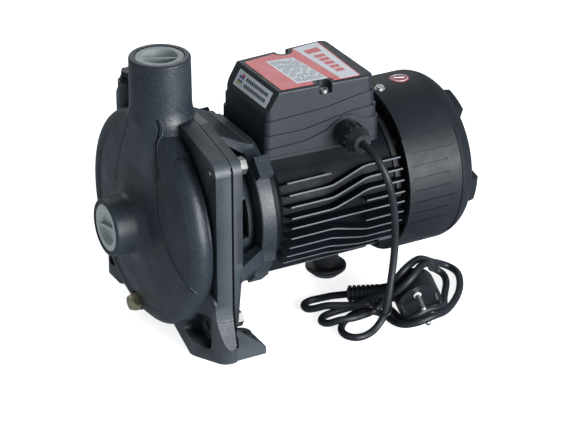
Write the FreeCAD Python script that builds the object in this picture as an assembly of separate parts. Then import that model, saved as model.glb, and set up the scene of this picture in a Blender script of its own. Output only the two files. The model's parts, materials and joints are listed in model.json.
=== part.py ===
import FreeCAD, Part
import math
import os

# Centrifugal water pump with its motor. Millimetres, +Z up. The shaft runs along X: the suction port faces -X
# and the motor's fan is at +X. The origin is on the floor, midway between the two foot bolt holes.

V = FreeCAD.Vector
X_AXIS, Y_AXIS, Z_AXIS = V(1, 0, 0), V(0, 1, 0), V(0, 0, 1)

# ---- driving dimensions ----
SHAFT_Z = 98.0            # height of the shaft above the floor
SUCTION_X = -86.0         # face of the suction port
DISCHARGE_X = -31.4       # axis of the discharge port
DISCHARGE_Z = 245.0       # top face of the discharge port
PORT_R = 25.0             # outside of the suction port
NECK_R = 26.0             # outside of the discharge port
THREAD_R = 19.5           # G 1 1/4 thread, minor radius
CAP_SEAT_R = 21.1         # lead-in that holds a shipping cap
CAP_SEAT_DEPTH = 7.0
THREAD_LENGTH = 18.0
CHANNEL_R = 16.0
DISH_R = 93.3
CHAMBER_R = 78.0
CHAMBER_FRONT_X = -52.0
FLANGE_FRONT_X = -29.0
FLANGE_TOP_Z = 193.0
BAND_X, BAND_R, BAND_TUBE = -40.0, 84.0, 11.5     # thick band on the near side of the dish
BAND_START, BAND_END = 52.0, -44.0
BULGE_X, BULGE_Y, BULGE_R = -42.5, 6.0, 82.0      # rim of the dish, standing a little to the far side
LEG_FRONT_X = -43.0
DRAIN_YZ = (12.0, 13.0)
DRAIN_R = 5.0
DRAIN_SEAT_X = -50.0
PRIMING_X, PRIMING_Y, PRIMING_Z = -33.0, 58.0, 201.0
PRIMING_R, PRIMING_BOSS_R = 5.0, 10.0
BODY_FACE_X = -14.4       # mating face of the body
BRACKET_FACE_X = -13.6    # mating face of the bracket; the gasket fills the gap
BRACKET_PLATE_X = -5.0
RING_X0, RING_X1, RING_R = 25.5, 40.0, 73.5
RING_TOP_Z = 164.0        # the ring is cut flat under the terminal box
BOLTS = ((-85.0, 75.0), (85.0, 75.0), (-76.0, -72.0), (76.0, -72.0))
FOOT_HOLE_Y = 80.0
FOOT_HOLE_R = 5.25
FOOT_REAR_X = 13.6
BARREL_X0, BARREL_X1 = 40.0, 163.0
BARREL_R = 60.0
STATOR_R = 50.5
FIN_R = 70.0
FIN_X0, FIN_X1 = 53.0, 167.0
FIN_WAVE_X0, FIN_WAVE_X1 = 97.0, 131.0
FIN_PITCH = 8.4
FIN_WIDTH = 1.3
LONG_FINS = (20.9, 12.5, 4.2, -3.5, -12.1, -21.0, -30.5, -39.6)
MIDDLE_FIN = -3.5
NEW_FINS = (4.2, -12.1)
SHORT_FIN = 29.5
TIE_ANGLES = (43.0, 137.0, -48.0, -132.0)
TIE_R = 55.3
LUG_REACH = (83.0, 83.0, 74.5, 74.5)    # outer faces of the bracket's lugs, at the tie angles
SHIELD_X1 = 168.7
SHIELD_R = 62.0
COVER_X0, COVER_X1, COVER_R = 169.0, 242.0, 76.5
COVER_WALL = 2.5
COVER_ROUND = 24.5        # rounding of the cover's rear edge
PANEL_DEPTH = 1.3
COVER_IN_R = COVER_R - COVER_WALL - PANEL_DEPTH
COVER_SCREWS = (84.0, 174.0, -96.0)
STICKER_X, STICKER_ANGLE = 202.0, 92.0
COVER_LUGS = (67.0, 157.0, -13.0, -103.0)
PANEL_ANGLE = 40.0        # the flat panels on the cover's sides reach this far above and below the middle
PANEL_X1 = 222.0
PAD_Z = 36.0
PAD_X0, PAD_X1, PAD_HALF = 45.0, 152.0, 33.0
FOOT_POST_X = 128.0
BOX_Y = -4.0              # middle of the terminal box
BOX_X0, BOX_X1 = 42.0, 151.0
BOX_HALF0, BOX_HALF1 = 41.5, 48.0       # half widths of the box at its front and its rear
BOX_SEAT_Z = 152.0
BOX_RIM_Z = 149.5         # lower edge of the tray's rim, which reaches down round the seat
BOX_JOINT_Z = 152.5       # the gasket lies between the tray's rim and the cover
BOX_GASKET = 1.0
BOX_FLOOR_Z = 154.5
BOX_POST_Z = 168.0
BOX_TOP_Z = 209.0
BOX_FRONT = ((41.8, 148.0), (46.4, 189.0), (58.5, 209.0))    # the leaning front and the slope above it
BOX_STEPS = (1.3, 2.6, 3.8)             # how far the sides stand in above each of the three wavy ridges
BOX_RIDGES = (
    ((40, 159), (80, 161.5), (99, 167), (115, 178), (124, 178), (134, 172.5), (154, 171.5)),
    ((40, 171), (80, 171.5), (124, 180.5), (154, 182.5)),
    ((40, 183), (75, 185.5), (102, 187.5), (128, 193), (154, 197)),
)
BOX_SCREW_X, BOX_SCREW_Y = 101.0, 37.0  # the screws stand this far to each side of the middle
WIRE_WAY_X, WIRE_WAY_R = 98.0, 11.0
CAPACITOR_X0, CAPACITOR_X1, CAPACITOR_R = 60.0, 112.0, 12.0
CAPACITOR_Y, CAPACITOR_Z = 12.0, 180.0
GLAND_FACE_Y = -54.0
BOX_WALL = 2.5
GLAND_X, GLAND_Z = 118.0, 163.0
SHAFT_R = 8.5             # bearing seats
ROTOR_X0, ROTOR_X1, ROTOR_R = 70.0, 130.0, 30.0
AIR_GAP = 0.5
BAR_PITCH_R = 26.2        # circle of the rotor cage's bars
SLOT_R0, SLOT_R1 = 33.5, 43.0
FRONT_BEARING_X, REAR_BEARING_X = 27.0, 150.0
RACE_OUT_R, RACE_W = 20.0, 12.0
BALL_R, BALL_PITCH_R, BALLS = 3.4, 14.25, 8
FAN_X0, FAN_X1, FAN_R = 190.0, 212.0, 58.0
CORD_R = 3.2

CORD_ROUTE = (
    (118.0, -79.0, 163.0), (118.3, -91.0, 162.4), (120.0, -102.0, 156.6), (124.0, -108.6, 145.5),
    (128.8, -110.5, 131.0), (133.2, -109.6, 113.5), (136.0, -108.3, 94.0), (136.5, -107.5, 74.0),
    (134.0, -108.0, 54.0), (130.5, -109.5, 36.0), (130.5, -106.0, 20.0),
)
HANK_OUTLINE = (
    (76, -46, 12), (112, -46, 10), (140, -66, 14), (212, -44, 20), (236, -44, 14), (234, -74, 20),
    (176, -136, 40), (144, -136, 14), (132, -114, 10), (106, -124, 16), (80, -124, 14), (74, -84, 30),
)
HANK_HEIGHT = 17.0
HUMP_START, HUMP_ANGLE, HUMP_HALF = V(139, -103, 0), 33.0, 15.0    # turns that pass over the plug
HUMP_SIDE = ((-4, 12, 0), (-3, 45, 6), (6, 50, 8), (28, 49, 12), (80, 14, 0), (70, 12, 0))
TIE_X, TIE_Y0, TIE_Y1, TIE_TOP = 131.0, -117.0, -76.0, 21.0
PLUG_FACE = V(155.0, -117.0, 19.5)
PLUG_AXIS = V(-0.200, -0.944, -0.258).normalize()
PLUG_R, PLUG_DEPTH = 19.5, 27.0
RELIEF_END = V(113.0, -66.0, 14.0)
PIN_LINE = V(-0.37, -0.17, 0.915)       # from the lower pin towards the upper one
PIN_SPREAD, PIN_R, PIN_LENGTH = 19.0, 2.4, 19.0


# ---- helpers ----
def fuse(shapes):
    return shapes[0].multiFuse(list(shapes[1:])).removeSplitter()


def group(shapes):
    return Part.makeCompound(list(shapes))


def block(x0, x1, y0, y1, z0, z1):
    return Part.makeBox(x1 - x0, y1 - y0, z1 - z0, V(x0, y0, z0))


def rod_x(radius, x0, x1, y=0.0, z=SHAFT_Z):
    return Part.makeCylinder(radius, x1 - x0, V(x0, y, z), X_AXIS)


def rod_z(radius, z0, z1, x, y):
    return Part.makeCylinder(radius, z1 - z0, V(x, y, z0), Z_AXIS)


def rod_y(radius, y0, y1, x, z):
    return Part.makeCylinder(radius, y1 - y0, V(x, y0, z), Y_AXIS)


def tube_x(outer, inner, x0, x1):
    return rod_x(outer, x0, x1).cut(rod_x(inner, x0 - 1, x1 + 1))


def hexagon_x(across_flats, x0, x1, y, z):
    radius = across_flats / math.sqrt(3)
    corners = [(y + radius * math.cos(math.radians(60 * i)), z + radius * math.sin(math.radians(60 * i)), 0)
               for i in range(6)]
    return slab_x(corners, x0, x1)


def hexagon_z(across_flats, z0, z1, x, y):
    radius = across_flats / math.sqrt(3)
    corners = [(x + radius * math.cos(math.radians(60 * i)), y + radius * math.sin(math.radians(60 * i)), 0)
               for i in range(6)]
    return slab_z(corners, z0, z1)


def outline(corners, place):
    """Closed wire of straight sides whose corners (a, b, radius) are rounded; place maps (a, b) to space."""
    ends = []
    count = len(corners)
    for i, (a, b, radius) in enumerate(corners):
        here = V(a, b, 0)
        back = (V(*corners[i - 1][:2], 0) - here).normalize()
        on = (V(*corners[(i + 1) % count][:2], 0) - here).normalize()
        half = back.getAngle(on) / 2
        if radius == 0:
            ends.append((here, None, here))
            continue
        reach = radius / math.tan(half)
        middle = (back + on).normalize()
        crown = here + middle * (radius / math.sin(half) - radius)
        ends.append((here + back * reach, crown, here + on * reach))
    edges = []
    for i, (start, crown, stop) in enumerate(ends):
        if crown is not None:
            edges.append(Part.Arc(place(start), place(crown), place(stop)).toShape())
        follow = ends[(i + 1) % count][0]
        if stop.distanceToPoint(follow) > 1e-6:
            edges.append(Part.LineSegment(place(stop), place(follow)).toShape())
    return Part.Wire(edges)


def slab_x(corners, x0, x1):
    return Part.Face(outline(corners, lambda p: V(x0, p.x, p.y))).extrude(V(x1 - x0, 0, 0))


def slab_y(corners, y0, y1):
    return Part.Face(outline(corners, lambda p: V(p.x, y0, p.y))).extrude(V(0, y1 - y0, 0))


def slab_z(corners, z0, z1):
    return Part.Face(outline(corners, lambda p: V(p.x, p.y, z0))).extrude(V(0, 0, z1 - z0))


def turned(profile, angle=360.0):
    """Profile of (x, radius, rounding) turned about the shaft's axis."""
    face = Part.Face(outline(profile, lambda p: V(p.x, 0, SHAFT_Z + p.y)))
    return face.revolve(V(0, 0, SHAFT_Z), X_AXIS, angle)


def spun_z(profile, x, y):
    """Profile of (radius, z, rounding) turned about a vertical axis at x, y."""
    face = Part.Face(outline(profile, lambda p: V(x + p.x, y, p.y)))
    return face.revolve(V(x, y, 0), Z_AXIS, 360)


def about_shaft(shape, angle):
    turned_shape = shape.copy()
    turned_shape.rotate(V(0, 0, SHAFT_Z), X_AXIS, angle)
    return turned_shape


def mirrored(shape):
    return shape.mirror(V(0, 0, 0), Y_AXIS)


def polar(radius, angle):
    """Point (y, z) at a height angle above the near side's horizontal."""
    return -radius * math.cos(math.radians(angle)), SHAFT_Z + radius * math.sin(math.radians(angle))


# ---- pump end ----
BODY_FLANGE = ((-36, 95, 12), (36, 95, 12), (95.5, 83, 12), (95.5, -74, 10), (70, -89, 12), (-70, -89, 12),
               (-95.5, -74, 10), (-95.5, 83, 12))
BRACKET_FLANGE = ((-36, 95, 12), (36, 95, 12), (95.5, 83, 12), (95.5, -12, 40), (85, -79, 12), (60, -81, 12),
                  (-60, -81, 12), (-85, -79, 12), (-95.5, -12, 40), (-95.5, 83, 12))


def flange(corners, x0, x1):
    return slab_x([(y, SHAFT_Z + z, r) for y, z, r in corners], x0, x1)


def pump_foot(plan_corner):
    """The near leg and its foot; plan_corner is the leg's outer front corner seen from above."""
    leg = slab_x([(-34, 60, 0), (-38.5, 13.3, 0), (-70, 0, 0), (-107, 0, 0), (-104.5, 7, 12), (-95.5, 44, 60),
                  (-95.5, 58, 8), (-80, 66, 8), (-60, 70, 0)], LEG_FRONT_X, BODY_FACE_X)
    plan = slab_z([(LEG_FRONT_X, -30, 0), *plan_corner, (BODY_FACE_X, -102, 0), (BODY_FACE_X, -30, 0)], 0, 80)
    pocket = slab_x([(-73, 43, 4), (-57, 19, 5), (-91, 10, 4), (-92, 43, 4)], LEG_FRONT_X - 1, -22)
    leg = leg.common(plan).cut(pocket)
    web = slab_y([(BODY_FACE_X, 0, 0), (FOOT_REAR_X, 0, 0), (FOOT_REAR_X, 7, 2), (BODY_FACE_X, 29, 0)],
                 -101, -92.5)
    plate = slab_z([(BODY_FACE_X, -64, 0), (BODY_FACE_X, -101, 0), (FOOT_REAR_X, -101, 3),
                    (FOOT_REAR_X, -66, 8)], 0, 7)
    boss = rod_z(9.5, 0, 13, 0, -FOOT_HOLE_Y)
    hole = rod_z(FOOT_HOLE_R, -1, 15, 0, -FOOT_HOLE_Y)
    return leg, fuse([web, plate, boss]).cut(hole)


def casing_band():
    """Thick round-ended band down the near side of the dish."""
    y, z = polar(BAND_R, BAND_START)
    section = Part.Face(Part.Wire(Part.makeCircle(BAND_TUBE, V(BAND_X, y, z), V(0, z - SHAFT_Z, -y))))
    ends = [Part.makeSphere(BAND_TUBE, V(BAND_X, *polar(BAND_R, angle))) for angle in (BAND_START, BAND_END)]
    return [section.revolve(V(0, 0, SHAFT_Z), X_AXIS, BAND_START - BAND_END), *ends]


def discharge_neck():
    """The neck, whole above the flanges and cut off at the mating face and the dish's front below them."""
    neck = spun_z([(0, 150, 0), (46, 150, 0), (41, 173, 30), (NECK_R + 0.5, 196, 26),
                   (NECK_R, DISCHARGE_Z, 2), (0, DISCHARGE_Z, 0)], DISCHARGE_X, 0)
    split = FLANGE_TOP_Z + 0.4
    flare = neck.common(block(CHAMBER_FRONT_X - 6, BODY_FACE_X, -60, 60, 140, split))
    column = neck.common(block(CHAMBER_FRONT_X - 30, 20, -60, 60, split, DISCHARGE_Z + 1))
    return [flare, column]


def pump_body():
    shell = turned([(SUCTION_X, 0, 0), (SUCTION_X, PORT_R, 2), (-66, PORT_R + 0.8, 6), (-60.5, 33, 14),
                    (-57, 62, 70), (-50.5, DISH_R, 9), (-31, DISH_R, 3), (FLANGE_FRONT_X, 88, 0),
                    (BODY_FACE_X, 88, 0), (BODY_FACE_X, 0, 0)])
    rim = flange(BODY_FLANGE, FLANGE_FRONT_X, BODY_FACE_X)
    bulge = Part.makeTorus(BULGE_R, BAND_TUBE, V(BULGE_X, BULGE_Y, SHAFT_Z), X_AXIS)
    near_leg, near_foot = pump_foot([(LEG_FRONT_X, -74, 12), (-25, -106, 12)])
    far_leg, far_foot = pump_foot([(LEG_FRONT_X, -94, 8), (-35, -106, 8)])
    priming_boss = rod_z(PRIMING_BOSS_R, 150, PRIMING_Z, PRIMING_X, PRIMING_Y)
    feet = [near_leg, near_foot, mirrored(far_leg), mirrored(far_foot)]
    solid = fuse([shell, rim, *discharge_neck(), *casing_band(), bulge, *feet, priming_boss])
    chamber = turned([(CHAMBER_FRONT_X, 0, 0), (CHAMBER_FRONT_X, 72, 0), (-48, CHAMBER_R, 5),
                      (BODY_FACE_X + 1, CHAMBER_R, 0), (BODY_FACE_X + 1, 0, 0)])
    suction = fuse([rod_x(CAP_SEAT_R, SUCTION_X - 1, SUCTION_X + CAP_SEAT_DEPTH),
                    rod_x(THREAD_R, SUCTION_X, SUCTION_X + CAP_SEAT_DEPTH + THREAD_LENGTH),
                    rod_x(CHANNEL_R, SUCTION_X, CHAMBER_FRONT_X + 1)])
    seat_z = DISCHARGE_Z - CAP_SEAT_DEPTH
    outlet = fuse([rod_z(CAP_SEAT_R, seat_z, DISCHARGE_Z + 1, DISCHARGE_X, 0),
                   rod_z(THREAD_R, seat_z - THREAD_LENGTH, DISCHARGE_Z, DISCHARGE_X, 0),
                   rod_z(CHANNEL_R, SHAFT_Z + 66, DISCHARGE_Z, DISCHARGE_X, 0)])
    holes = [rod_x(4.05, FLANGE_FRONT_X - 6, BODY_FACE_X + 1, y, SHAFT_Z + z) for y, z in BOLTS]
    y, z = DRAIN_YZ
    holes.append(rod_x(9.5, DRAIN_SEAT_X - 15, DRAIN_SEAT_X, y, z))
    holes.append(rod_x(DRAIN_R + 0.05, DRAIN_SEAT_X - 1, DRAIN_SEAT_X + 8.5, y, z))
    holes.append(rod_z(2.5, z, z + 11, DRAIN_SEAT_X + 5.5, y))
    holes.append(rod_z(PRIMING_R + 0.05, 152, PRIMING_Z + 1, PRIMING_X, PRIMING_Y))
    return solid.cut(fuse([chamber, suction, outlet, *holes]))


def drain_plug():
    y, z = DRAIN_YZ
    crown_x, seat_x = DRAIN_SEAT_X - 10.5, DRAIN_SEAT_X - 1.5
    head = hexagon_x(13.5, crown_x, seat_x, y, z).common(
        Part.makeCone(6.0, 10.0, 12.0, V(crown_x - 0.6, y, z), X_AXIS))
    return fuse([head, rod_x(DRAIN_R, seat_x, DRAIN_SEAT_X + 8, y, z)])


def drain_washer():
    y, z = DRAIN_YZ
    ring = rod_x(8.3, DRAIN_SEAT_X - 1.3, DRAIN_SEAT_X - 0.1, y, z)
    return ring.cut(rod_x(DRAIN_R + 0.3, DRAIN_SEAT_X - 2, DRAIN_SEAT_X + 1, y, z))


def priming_plug():
    z = PRIMING_Z
    head = fuse([hexagon_z(13.0, z + 1.8, z + 9.0, PRIMING_X, PRIMING_Y),
                 rod_z(8.0, z + 1.8, z + 3.2, PRIMING_X, PRIMING_Y)])
    return fuse([head, rod_z(PRIMING_R, z - 14.0, z + 1.8, PRIMING_X, PRIMING_Y)])


def priming_washer():
    z = PRIMING_Z
    ring = rod_z(8.2, z + 0.2, z + 1.6, PRIMING_X, PRIMING_Y)
    return ring.cut(rod_z(PRIMING_R + 0.3, z - 1, z + 3, PRIMING_X, PRIMING_Y))


def port_cap():
    """Shipping cap standing on the origin, opening up: a cup with a web across it."""
    outer = CAP_SEAT_R - 0.35
    cup = Part.makeCylinder(outer, CAP_SEAT_DEPTH - 1.0)
    cup = cup.makeFillet(0.6, [cup.Edges[0]])
    well = Part.makeCone(outer * 0.58, outer * 0.74, CAP_SEAT_DEPTH - 1.8, V(0, 0, 0.9))
    web = block(-1.1, 1.1, -outer * 0.68, outer * 0.68, 0.5, CAP_SEAT_DEPTH - 2.4)
    return fuse([cup.cut(well), web])


def suction_cap():
    cap = port_cap()
    cap.rotate(V(0, 0, 0), Z_AXIS, 12)
    cap.rotate(V(0, 0, 0), Y_AXIS, -90)
    cap.translate(V(SUCTION_X + CAP_SEAT_DEPTH - 0.3, 0, SHAFT_Z))
    return cap


def discharge_cap():
    cap = port_cap()
    cap.rotate(V(0, 0, 0), Z_AXIS, 62)
    cap.translate(V(DISCHARGE_X, 0, DISCHARGE_Z - CAP_SEAT_DEPTH + 0.3))
    return cap


def casing_gasket():
    return tube_x(86.0, CHAMBER_R, BODY_FACE_X, BRACKET_FACE_X)


def casing_bolts():
    return group(fuse([rod_x(4.0, FLANGE_FRONT_X - 2.0, BRACKET_PLATE_X + 1.8, y, SHAFT_Z + z),
                       hexagon_x(13.0, BRACKET_PLATE_X + 1.6, BRACKET_PLATE_X + 7.0, y, SHAFT_Z + z)])
                 for y, z in BOLTS)


def casing_washers():
    return group(rod_x(8.0, BRACKET_PLATE_X, BRACKET_PLATE_X + 1.6, y, SHAFT_Z + z).cut(
        rod_x(4.3, BRACKET_PLATE_X - 1, BRACKET_PLATE_X + 3, y, SHAFT_Z + z)) for y, z in BOLTS)


def impeller():
    """Closed impeller: two shrouds with six curved vanes between them, a hub and an eye."""
    back = turned([(-28.0, 65.0, 0), (-25.0, 65.0, 0), (-25.0, 16.0, 0), (-20.5, 16.0, 0), (-20.5, 6.55, 0),
                   (-45.0, 6.55, 0), (-45.0, 11.5, 2), (-33.0, 14.0, 8), (-28.0, 22.0, 0)])
    front = turned([(-37.5, 65.0, 0), (-35.3, 65.0, 0), (-38.8, 24.0, 0), (-47.5, 18.5, 0), (-47.5, 21.0, 0),
                    (-41.5, 24.5, 0)])
    hollow = turned([(-48, 0, 0), (-48, 18.0, 0), (-38.8, 23.5, 0), (-36.0, 66, 0), (-27.5, 66, 0),
                     (-27.5, 0, 0)])
    inner_r, outer_r, sweep, width = 22.0, 64.5, 62.0, 2.6
    vane_line = []
    for i in range(3):
        part = i / 2
        angle = math.radians(sweep * part)
        radius = inner_r + (outer_r - inner_r) * part
        vane_line.append((radius * math.cos(angle), radius * math.sin(angle)))
    sides = []
    for offset in (-width / 2, width / 2):
        points = [V(-46.0, y * (1 + offset / math.hypot(y, z)), SHAFT_Z + z * (1 + offset / math.hypot(y, z)))
                  for y, z in vane_line]
        sides.append(Part.Arc(*points).toShape())
    left, right = sides
    ends = [Part.LineSegment(left.Vertexes[i].Point, right.Vertexes[i].Point).toShape() for i in (0, 1)]
    vane = Part.Face(Part.Wire([left, ends[1], right, ends[0]])).extrude(V(19.5, 0, 0)).common(hollow)
    vanes = [about_shaft(vane, 60 * i) for i in range(6)]
    keyway = block(-46.0, -19.0, -2.1, 2.1, SHAFT_Z, SHAFT_Z + 9.0)
    return fuse([back, front, *vanes]).cut(keyway)


def impeller_nut():
    return hexagon_x(13.0, -52.0 + 1.5, -45.2, 0, SHAFT_Z).cut(rod_x(5.0, -53, -44))


def impeller_key():
    return block(-43.0, -23.0, -2.0, 2.0, SHAFT_Z + 4.2, SHAFT_Z + 8.6)


def seal_seat():
    return turned([(-13.2, 9.2, 0), (-13.2, 15.0, 0), (-7.0, 15.0, 0), (-7.0, 9.2, 0)])


def seal_ring():
    return turned([(-17.0, 8.0, 0), (-17.0, 13.5, 0), (-13.3, 13.5, 0), (-13.3, 8.0, 0)])


def seal_spring():
    """Wave spring between the impeller's hub and the rotating seal ring."""
    rings = [turned([(x, 9.6, 0), (x, 12.4, 0), (x + 0.8, 12.4, 0), (x + 0.8, 9.6, 0)])
             for x in (-20.4, -19.4, -18.4)]
    posts = []
    for i in range(3):
        for x, shift in ((-19.6, 0), (-18.6, 60)):
            posts.append(about_shaft(block(x - 0.1, x + 0.3, -1.5, 1.5, SHAFT_Z + 9.8, SHAFT_Z + 12.2),
                                     120 * i + shift))
    tail = tube_x(12.2, 10.2, -17.7, -17.0)
    return fuse([*rings, *posts, tail])


# ---- bracket ----
def bracket_lug(angle, reach):
    """Square boss standing out of the ring at one corner of the motor."""
    lug = block(RING_X0 + 1.5, RING_X1, -9.0, 9.0, SHAFT_Z + 60, SHAFT_Z + reach)
    return about_shaft(lug, 90 - angle)


def bracket_arm():
    """Near side arm from the plate's edge to the ring."""
    plan = [(BRACKET_PLATE_X - 1, -94, 0), (BRACKET_PLATE_X - 1, -83, 0), (RING_X0, -62, 0),
            (RING_X1, -62, 0), (RING_X1, -RING_R + 3, 2), (RING_X0 + 2, -RING_R + 3, 4)]
    return slab_z(plan, SHAFT_Z - 29, SHAFT_Z - 15)


def bracket_roof():
    """Top arm, a sloping slab from the plate's top edge to the ring."""
    side = [(BRACKET_PLATE_X - 1, 184.5, 0), (BRACKET_PLATE_X - 1, 175, 0), (9.8, 170, 3), (RING_X0, 158, 3),
            (RING_X1 - 4, 158, 0), (RING_X1 - 4, 165, 0), (31, 165.6, 2)]
    return slab_y(side, -38, 38)


def motor_bracket():
    plate = flange(BRACKET_FLANGE, BRACKET_FACE_X, BRACKET_PLATE_X)
    cone = turned([(BRACKET_PLATE_X - 2, 0, 0), (BRACKET_PLATE_X - 2, 64, 0), (1, 64, 5),
                   (RING_X0 + 1, 58, 4), (RING_X0 + 1, 0, 0)])
    ring = turned([(RING_X0, 0, 0), (RING_X0, RING_R - 1, 2), (RING_X1, RING_R, 1.5), (RING_X1, 0, 0)])
    ring = ring.cut(block(RING_X0 - 1, RING_X1 + 1, -RING_R, RING_R, RING_TOP_Z, RING_TOP_Z + 20))
    lugs = [bracket_lug(angle, reach) for angle, reach in zip(TIE_ANGLES, LUG_REACH)]
    solid = fuse([plate, cone, ring, *lugs, bracket_arm(), mirrored(bracket_arm()), bracket_roof()])
    inside = turned([(0, 0, 0), (0, 52, 0), (2, 56, 0), (RING_X0 - 3, 51, 0), (RING_X0 - 3, 0, 0)])
    shaft_way = rod_x(12.0, BRACKET_FACE_X - 1, RING_X1 + 1)
    seal_pocket = rod_x(15.05, BRACKET_FACE_X - 1, -7.0)
    bearing_seat = rod_x(RACE_OUT_R, FRONT_BEARING_X, RING_X1 + 1)
    winding_room = rod_x(46.0, RING_X1 - 6, RING_X1 + 1).cut(rod_x(26.0, RING_X1 - 7, RING_X1 + 2))
    tie_holes = [rod_x(2.55, RING_X0 + 2, RING_X1 + 1, *polar(TIE_R, angle)) for angle in TIE_ANGLES]
    bolt_holes = [rod_x(4.3, BRACKET_FACE_X - 1, BRACKET_PLATE_X + 1, y, SHAFT_Z + z) for y, z in BOLTS]
    bolt_room = [rod_x(9.0, BRACKET_PLATE_X, BRACKET_PLATE_X + 20, y, SHAFT_Z + z) for y, z in BOLTS]
    window = block(4, RING_X0 - 6, -90, 90, SHAFT_Z - 8, SHAFT_Z + 26)
    drip = block(6, RING_X0 - 7, -14, 14, 0, SHAFT_Z - 20)
    return solid.cut(fuse([inside, shaft_way, seal_pocket, bearing_seat, winding_room, *tie_holes,
                           *bolt_holes, *bolt_room, window, drip]))


# ---- motor ----
def strip(points, radii, width):
    """Rounded corners of a band of even width along a line of (a, b) points."""
    left, right = [], []
    for i, (a, b) in enumerate(points):
        before = points[max(i - 1, 0)]
        after = points[min(i + 1, len(points) - 1)]
        here = V(a, b, 0)
        come = (here - V(*before, 0)).normalize() if i else (V(*after, 0) - here).normalize()
        leave = (V(*after, 0) - here).normalize() if i < len(points) - 1 else come
        normal = (V(-come.y, come.x, 0) + V(-leave.y, leave.x, 0)).normalize()
        reach = width / 2 / normal.dot(V(-come.y, come.x, 0))
        turn = come.cross(leave).z
        side = 0 if abs(turn) < 1e-9 else math.copysign(width / 2, turn)
        left.append((a + normal.x * reach, b + normal.y * reach, max(radii[i] - side, 0) if radii[i] else 0))
        right.append((a - normal.x * reach, b - normal.y * reach, max(radii[i] + side, 0) if radii[i] else 0))
    return left + right[::-1]


def fin(angle, shift, x0=FIN_X0, x1=FIN_X1):
    """A wall standing out of the barrel at an angle; shift, in pitches, moves its rear half up or down."""
    step = shift * math.radians(FIN_PITCH) * FIN_R
    if shift:
        line = [(x0, 0), (FIN_WAVE_X0, 0), (FIN_WAVE_X1, step), (x1, step)]
        band = strip(line, (0, 34, 34, 0), FIN_WIDTH)
    else:
        band = strip([(x0, 0), (x1, 0)], (0, 0), FIN_WIDTH)
    base = BARREL_R - 4.0
    foot = Part.Face(outline(band, lambda p: V(p.x, -base, SHAFT_Z + p.y)))
    return about_shaft(foot.extrude(V(0, base - FIN_R - 4, 0)), -angle)


def fin_set():
    fins = []
    for angle in LONG_FINS:
        shift = 0 if angle == MIDDLE_FIN else math.copysign(1, angle - MIDDLE_FIN)
        fins.append(fin(angle, shift))
    for angle in NEW_FINS:
        fins.append(fin(angle, 0, FIN_WAVE_X1 - 2))
    fins.append(fin(SHORT_FIN, 0, FIN_X0, 98.0))
    return fins


def motor_housing():
    barrel = turned([(BARREL_X0, STATOR_R, 0), (BARREL_X0, 64, 0), (FIN_X0 - 5, 64, 3),
                     (FIN_X0 - 1, BARREL_R, 3), (BARREL_X1, BARREL_R, 0), (BARREL_X1, STATOR_R, 0)])
    envelope = turned([(FIN_X0 - 4, 50, 0), (FIN_X0 - 4, 63, 0), (FIN_X0 + 3, FIN_R, 1), (FIN_X1, FIN_R, 1),
                       (FIN_X1, 50, 0)])
    near = fuse(fin_set()).common(envelope)
    pad = slab_z([(PAD_X0, -PAD_HALF, 4), (PAD_X1, -PAD_HALF, 4), (PAD_X1, PAD_HALF, 4),
                  (PAD_X0, PAD_HALF, 4)], PAD_Z, PAD_Z + 18)
    seat = slab_z(box_plan(BOX_WALL + 0.3), BOX_SEAT_Z - 26, BOX_SEAT_Z)
    rear_lug = slab_x([(-52, SHAFT_Z - 38, 0), (-52, SHAFT_Z - 55, 5), (-34, SHAFT_Z - 55, 5),
                       (-34, SHAFT_Z - 38, 0)], BARREL_X1 - 11, BARREL_X1 + 3)
    solid = fuse([barrel, near, mirrored(near), pad, seat, rear_lug, mirrored(rear_lug)])
    bore = rod_x(STATOR_R, BARREL_X0 - 1, BARREL_X1 + 1)
    shield_room = rod_x(SHIELD_R + 0.3, BARREL_X1, FIN_X1 + 1)
    tie_holes = [rod_x(2.6, BARREL_X0 - 1, BARREL_X1 + 1, *polar(TIE_R, angle)) for angle in TIE_ANGLES]
    post_hole = rod_z(4.1, PAD_Z - 1, PAD_Z + 12, FOOT_POST_X, 0)
    wire_way = rod_z(WIRE_WAY_R, SHAFT_Z + 40, BOX_SEAT_Z + 1, WIRE_WAY_X, BOX_Y)
    box_room = block(BARREL_X0 - 1, BOX_X1 + 1, -BARREL_R, BARREL_R, BOX_SEAT_Z, BOX_TOP_Z)
    rim_room = slab_z(box_plan(-0.4), BOX_RIM_Z - 0.3, BOX_SEAT_Z)
    rim_room = rim_room.cut(slab_z(box_plan(BOX_WALL + 0.3), BOX_RIM_Z - 1, BOX_SEAT_Z + 1))
    return solid.cut(fuse([bore, shield_room, *tie_holes, post_hole, wire_way, box_room, rim_room]))


def stator_slots(clearance, x0, x1):
    slots = []
    for i in range(24):
        low, high = SHAFT_Z + SLOT_R0 + clearance, SHAFT_Z + SLOT_R1 - clearance
        slot = slab_x([(-2.0 + clearance, low, 0), (2.0 - clearance, low, 0), (3.1 - clearance, high, 0),
                       (-3.1 + clearance, high, 0)], x0, x1)
        slots.append(about_shaft(slot, 15 * i))
    return slots


def stator_core():
    core = tube_x(STATOR_R - 0.05, ROTOR_R + AIR_GAP, ROTOR_X0, ROTOR_X1)
    return core.cut(group(stator_slots(0, ROTOR_X0 - 1, ROTOR_X1 + 1)))


def stator_winding():
    front = turned([(ROTOR_X0 - 15, SLOT_R0, 4), (ROTOR_X0 - 15, SLOT_R1 + 3, 4),
                    (ROTOR_X0 - 0.5, SLOT_R1, 0), (ROTOR_X0 - 0.5, SLOT_R0, 0)])
    rear = turned([(ROTOR_X1 + 0.5, SLOT_R0, 0), (ROTOR_X1 + 0.5, SLOT_R1, 0),
                   (ROTOR_X1 + 15, SLOT_R1 + 3, 4), (ROTOR_X1 + 15, SLOT_R0, 4)])
    return fuse([front, rear, *stator_slots(0.3, ROTOR_X0 - 2, ROTOR_X1 + 2)])


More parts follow.
